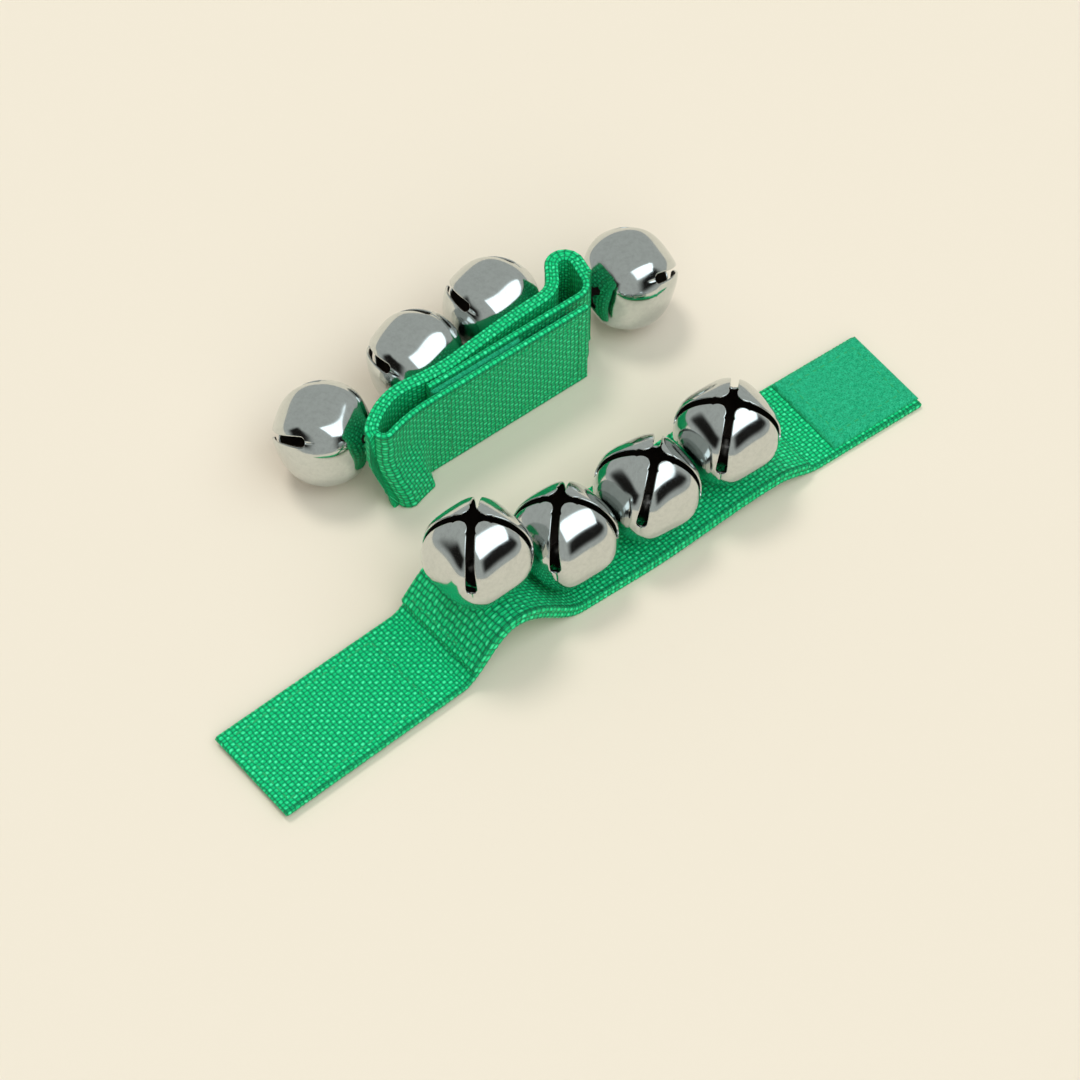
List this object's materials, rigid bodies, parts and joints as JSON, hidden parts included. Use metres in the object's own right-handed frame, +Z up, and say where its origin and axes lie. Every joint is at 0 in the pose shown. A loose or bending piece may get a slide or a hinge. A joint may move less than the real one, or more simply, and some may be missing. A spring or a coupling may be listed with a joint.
{
  "type": "sleigh bells",
  "caption": "Pair of woven wrist bands with jingle bells: one lies open and flat, the other is fastened by hook and pile into a flattened loop.",
  "frame": {"origin": "centre of the pair's footprint, on the surface it rests on", "axes": "+Z up; +X along the open band, from its hook end to its pile end; +Y from the open band towards the closed band"},
  "size_m": [0.1812, 0.0921, 0.0378],
  "materials": {
    "webbing": "coarse plain weave, slight sheen",
    "pile_patch": "fuzzy loop pile",
    "hook_patch": "stiff hook tape",
    "thread": "sewing thread",
    "keeper": "twisted cord",
    "bell": "polished nickel plating",
    "pellet": "plain steel ball"
  },
  "bodies": {
    "open_middle": {"open_webbing_2": "webbing", "open_bell_strip_2": "webbing", "open_keeper_2": "keeper"},
    "open_hook_side": {"open_webbing_1": "webbing", "open_bell_strip_1": "webbing", "open_keeper_1": "keeper", "open_strip_stitching_1": "thread"},
    "open_hook_end": {"open_hook_tail": "webbing", "open_hook_patch": "hook_patch", "open_hook_stitching": "thread"},
    "open_pile_side": {"open_webbing_3": "webbing", "open_bell_strip_3": "webbing", "open_keeper_3": "keeper"},
    "open_far_side": {"open_webbing_4": "webbing", "open_bell_strip_4": "webbing", "open_keeper_4": "keeper", "open_strip_stitching_4": "thread"},
    "open_pile_end": {"open_pile_tail": "webbing", "open_pile_patch": "pile_patch", "open_pile_stitching": "thread"},
    "closed_band": {"closed_loop": "webbing", "closed_pile_patch": "pile_patch", "closed_bell_strip": "webbing", "closed_strip_stitching": "thread", "closed_keepers": "keeper"},
    "closed_flap_end": {"closed_flap": "webbing", "closed_hook_patch": "hook_patch", "closed_hook_stitching": "thread"},
    "open_bell_1_body": {"open_bell_1": "bell", "open_shank_1": "bell"},
    "open_pellet_1_body": {"open_pellet_1": "pellet"},
    "open_bell_2_body": {"open_bell_2": "bell", "open_shank_2": "bell"},
    "open_pellet_2_body": {"open_pellet_2": "pellet"},
    "open_bell_3_body": {"open_bell_3": "bell", "open_shank_3": "bell"},
    "open_pellet_3_body": {"open_pellet_3": "pellet"},
    "open_bell_4_body": {"open_bell_4": "bell", "open_shank_4": "bell"},
    "open_pellet_4_body": {"open_pellet_4": "pellet"},
    "closed_bell_1_body": {"closed_bell_1": "bell", "closed_shank_1": "bell"},
    "closed_pellet_1_body": {"closed_pellet_1": "pellet"},
    "closed_bell_2_body": {"closed_bell_2": "bell", "closed_shank_2": "bell"},
    "closed_pellet_2_body": {"closed_pellet_2": "pellet"},
    "closed_bell_3_body": {"closed_bell_3": "bell", "closed_shank_3": "bell"},
    "closed_pellet_3_body": {"closed_pellet_3": "pellet"},
    "closed_bell_4_body": {"closed_bell_4": "bell", "closed_shank_4": "bell"},
    "closed_pellet_4_body": {"closed_pellet_4": "pellet"}
  },
  "joints": [
    {"name": "open_hook_side_flex", "type": "hinge", "parent": "open_middle", "child": "open_hook_side", "pos_m": [-0.01236, -0.02785, 0.00284], "axis": [0.075, -0.9972, 0], "range_deg": [0, 30]},
    {"name": "open_hook_fold", "type": "hinge", "parent": "open_hook_side", "child": "open_hook_end", "pos_m": [-0.04058, -0.02994, 0.00195], "axis": [0.075, -0.9972, 0], "range_deg": [-40, 75]},
    {"name": "open_pile_side_flex", "type": "hinge", "parent": "open_middle", "child": "open_pile_side", "pos_m": [0.0072, -0.02785, 0.00075], "axis": [0, 1, 0], "range_deg": [0, 30]},
    {"name": "open_far_side_flex", "type": "hinge", "parent": "open_pile_side", "child": "open_far_side", "pos_m": [0.0302, -0.02785, 0.00274], "axis": [0, 1, 0], "range_deg": [0, 30]},
    {"name": "open_pile_fold", "type": "hinge", "parent": "open_far_side", "child": "open_pile_end", "pos_m": [0.0593, -0.02785, 0.00084], "axis": [0, 1, 0], "range_deg": [-40, 75]},
    {"name": "closed_band_apart", "type": "slide", "parent": "open_middle", "child": "closed_band", "axis": [0, 0, 1], "range_m": [0, 0.08]},
    {"name": "closed_flap_open", "type": "hinge", "parent": "closed_band", "child": "closed_flap_end", "pos_m": [-0.01087, 0.01169, 0.0125], "axis": [0, 0, -1], "range_deg": [0, 32]},
    {"name": "open_bell_1_wobble", "type": "hinge", "parent": "open_hook_side", "child": "open_bell_1_body", "pos_m": [-0.02696, -0.02891, 0.013], "axis": [0.9972, 0.075, 0.0002], "range_deg": [-6, 6], "stiffness_Nm_per_rad": 0.03},
    {"name": "open_pellet_1_swing", "type": "hinge", "parent": "open_bell_1_body", "child": "open_pellet_1_body", "pos_m": [-0.02696, -0.02891, 0.0259], "axis": [-0.075, 0.9972, 0], "range_deg": [-45, 45]},
    {"name": "open_bell_2_wobble", "type": "hinge", "parent": "open_middle", "child": "open_bell_2_body", "pos_m": [-0.0043, -0.02955, 0.0015], "axis": [1, 0, 0], "range_deg": [-6, 6], "stiffness_Nm_per_rad": 0.03},
    {"name": "open_pellet_2_swing", "type": "hinge", "parent": "open_bell_2_body", "child": "open_pellet_2_body", "pos_m": [-0.0043, -0.02955, 0.0144], "axis": [0, 1, 0], "range_deg": [-45, 45]},
    {"name": "open_bell_3_wobble", "type": "hinge", "parent": "open_pile_side", "child": "open_bell_3_body", "pos_m": [0.01934, -0.03005, 0.00211], "axis": [0.9945, 0, 0.1048], "range_deg": [-6, 6], "stiffness_Nm_per_rad": 0.03},
    {"name": "open_pellet_3_swing", "type": "hinge", "parent": "open_bell_3_body", "child": "open_pellet_3_body", "pos_m": [0.01799, -0.03005, 0.01494], "axis": [0, 1, 0], "range_deg": [-45, 45]},
    {"name": "open_bell_4_wobble", "type": "hinge", "parent": "open_far_side", "child": "open_bell_4_body", "pos_m": [0.0413, -0.02965, 0.00469], "axis": [0.9979, 0, 0.0654], "range_deg": [-6, 6], "stiffness_Nm_per_rad": 0.03},
    {"name": "open_pellet_4_swing", "type": "hinge", "parent": "open_bell_4_body", "child": "open_pellet_4_body", "pos_m": [0.04046, -0.02965, 0.01756], "axis": [0, 1, 0], "range_deg": [-45, 45]},
    {"name": "closed_bell_1_wobble", "type": "hinge", "parent": "closed_band", "child": "closed_bell_1_body", "pos_m": [-0.02267, 0.0156, 0.0125], "axis": [0.8262, 0.5634, 0], "range_deg": [-6, 6], "stiffness_Nm_per_rad": 0.03},
    {"name": "closed_pellet_1_swing", "type": "hinge", "parent": "closed_bell_1_body", "child": "closed_pellet_1_body", "pos_m": [-0.02994, 0.02625, 0.0125], "axis": [0.8262, 0.5634, 0], "range_deg": [-45, 45]},
    {"name": "closed_bell_2_wobble", "type": "hinge", "parent": "closed_band", "child": "closed_bell_2_body", "pos_m": [0.00021, 0.01834, 0.0125], "axis": [0.9937, 0.112, 0], "range_deg": [-6, 6], "stiffness_Nm_per_rad": 0.03},
    {"name": "closed_pellet_2_swing", "type": "hinge", "parent": "closed_bell_2_body", "child": "closed_pellet_2_body", "pos_m": [-0.00123, 0.03116, 0.0125], "axis": [0.9937, 0.112, 0], "range_deg": [-45, 45]},
    {"name": "closed_bell_3_wobble", "type": "hinge", "parent": "closed_band", "child": "closed_bell_3_body", "pos_m": [0.02286, 0.0211, 0.0125], "axis": [0.9965, 0.0837, 0], "range_deg": [-6, 6], "stiffness_Nm_per_rad": 0.03},
    {"name": "closed_pellet_3_swing", "type": "hinge", "parent": "closed_bell_3_body", "child": "closed_pellet_3_body", "pos_m": [0.02178, 0.03396, 0.0125], "axis": [0.9965, 0.0837, 0], "range_deg": [-45, 45]},
    {"name": "closed_bell_4_wobble", "type": "hinge", "parent": "closed_band", "child": "closed_bell_4_body", "pos_m": [0.03985, 0.02492, 0.0125], "axis": [-0.1736, -0.9848, 0], "range_deg": [-6, 6], "stiffness_Nm_per_rad": 0.03},
    {"name": "closed_pellet_4_swing", "type": "hinge", "parent": "closed_bell_4_body", "child": "closed_pellet_4_body", "pos_m": [0.05255, 0.02268, 0.0125], "axis": [-0.1736, -0.9848, 0], "range_deg": [-45, 45]}
  ]
}
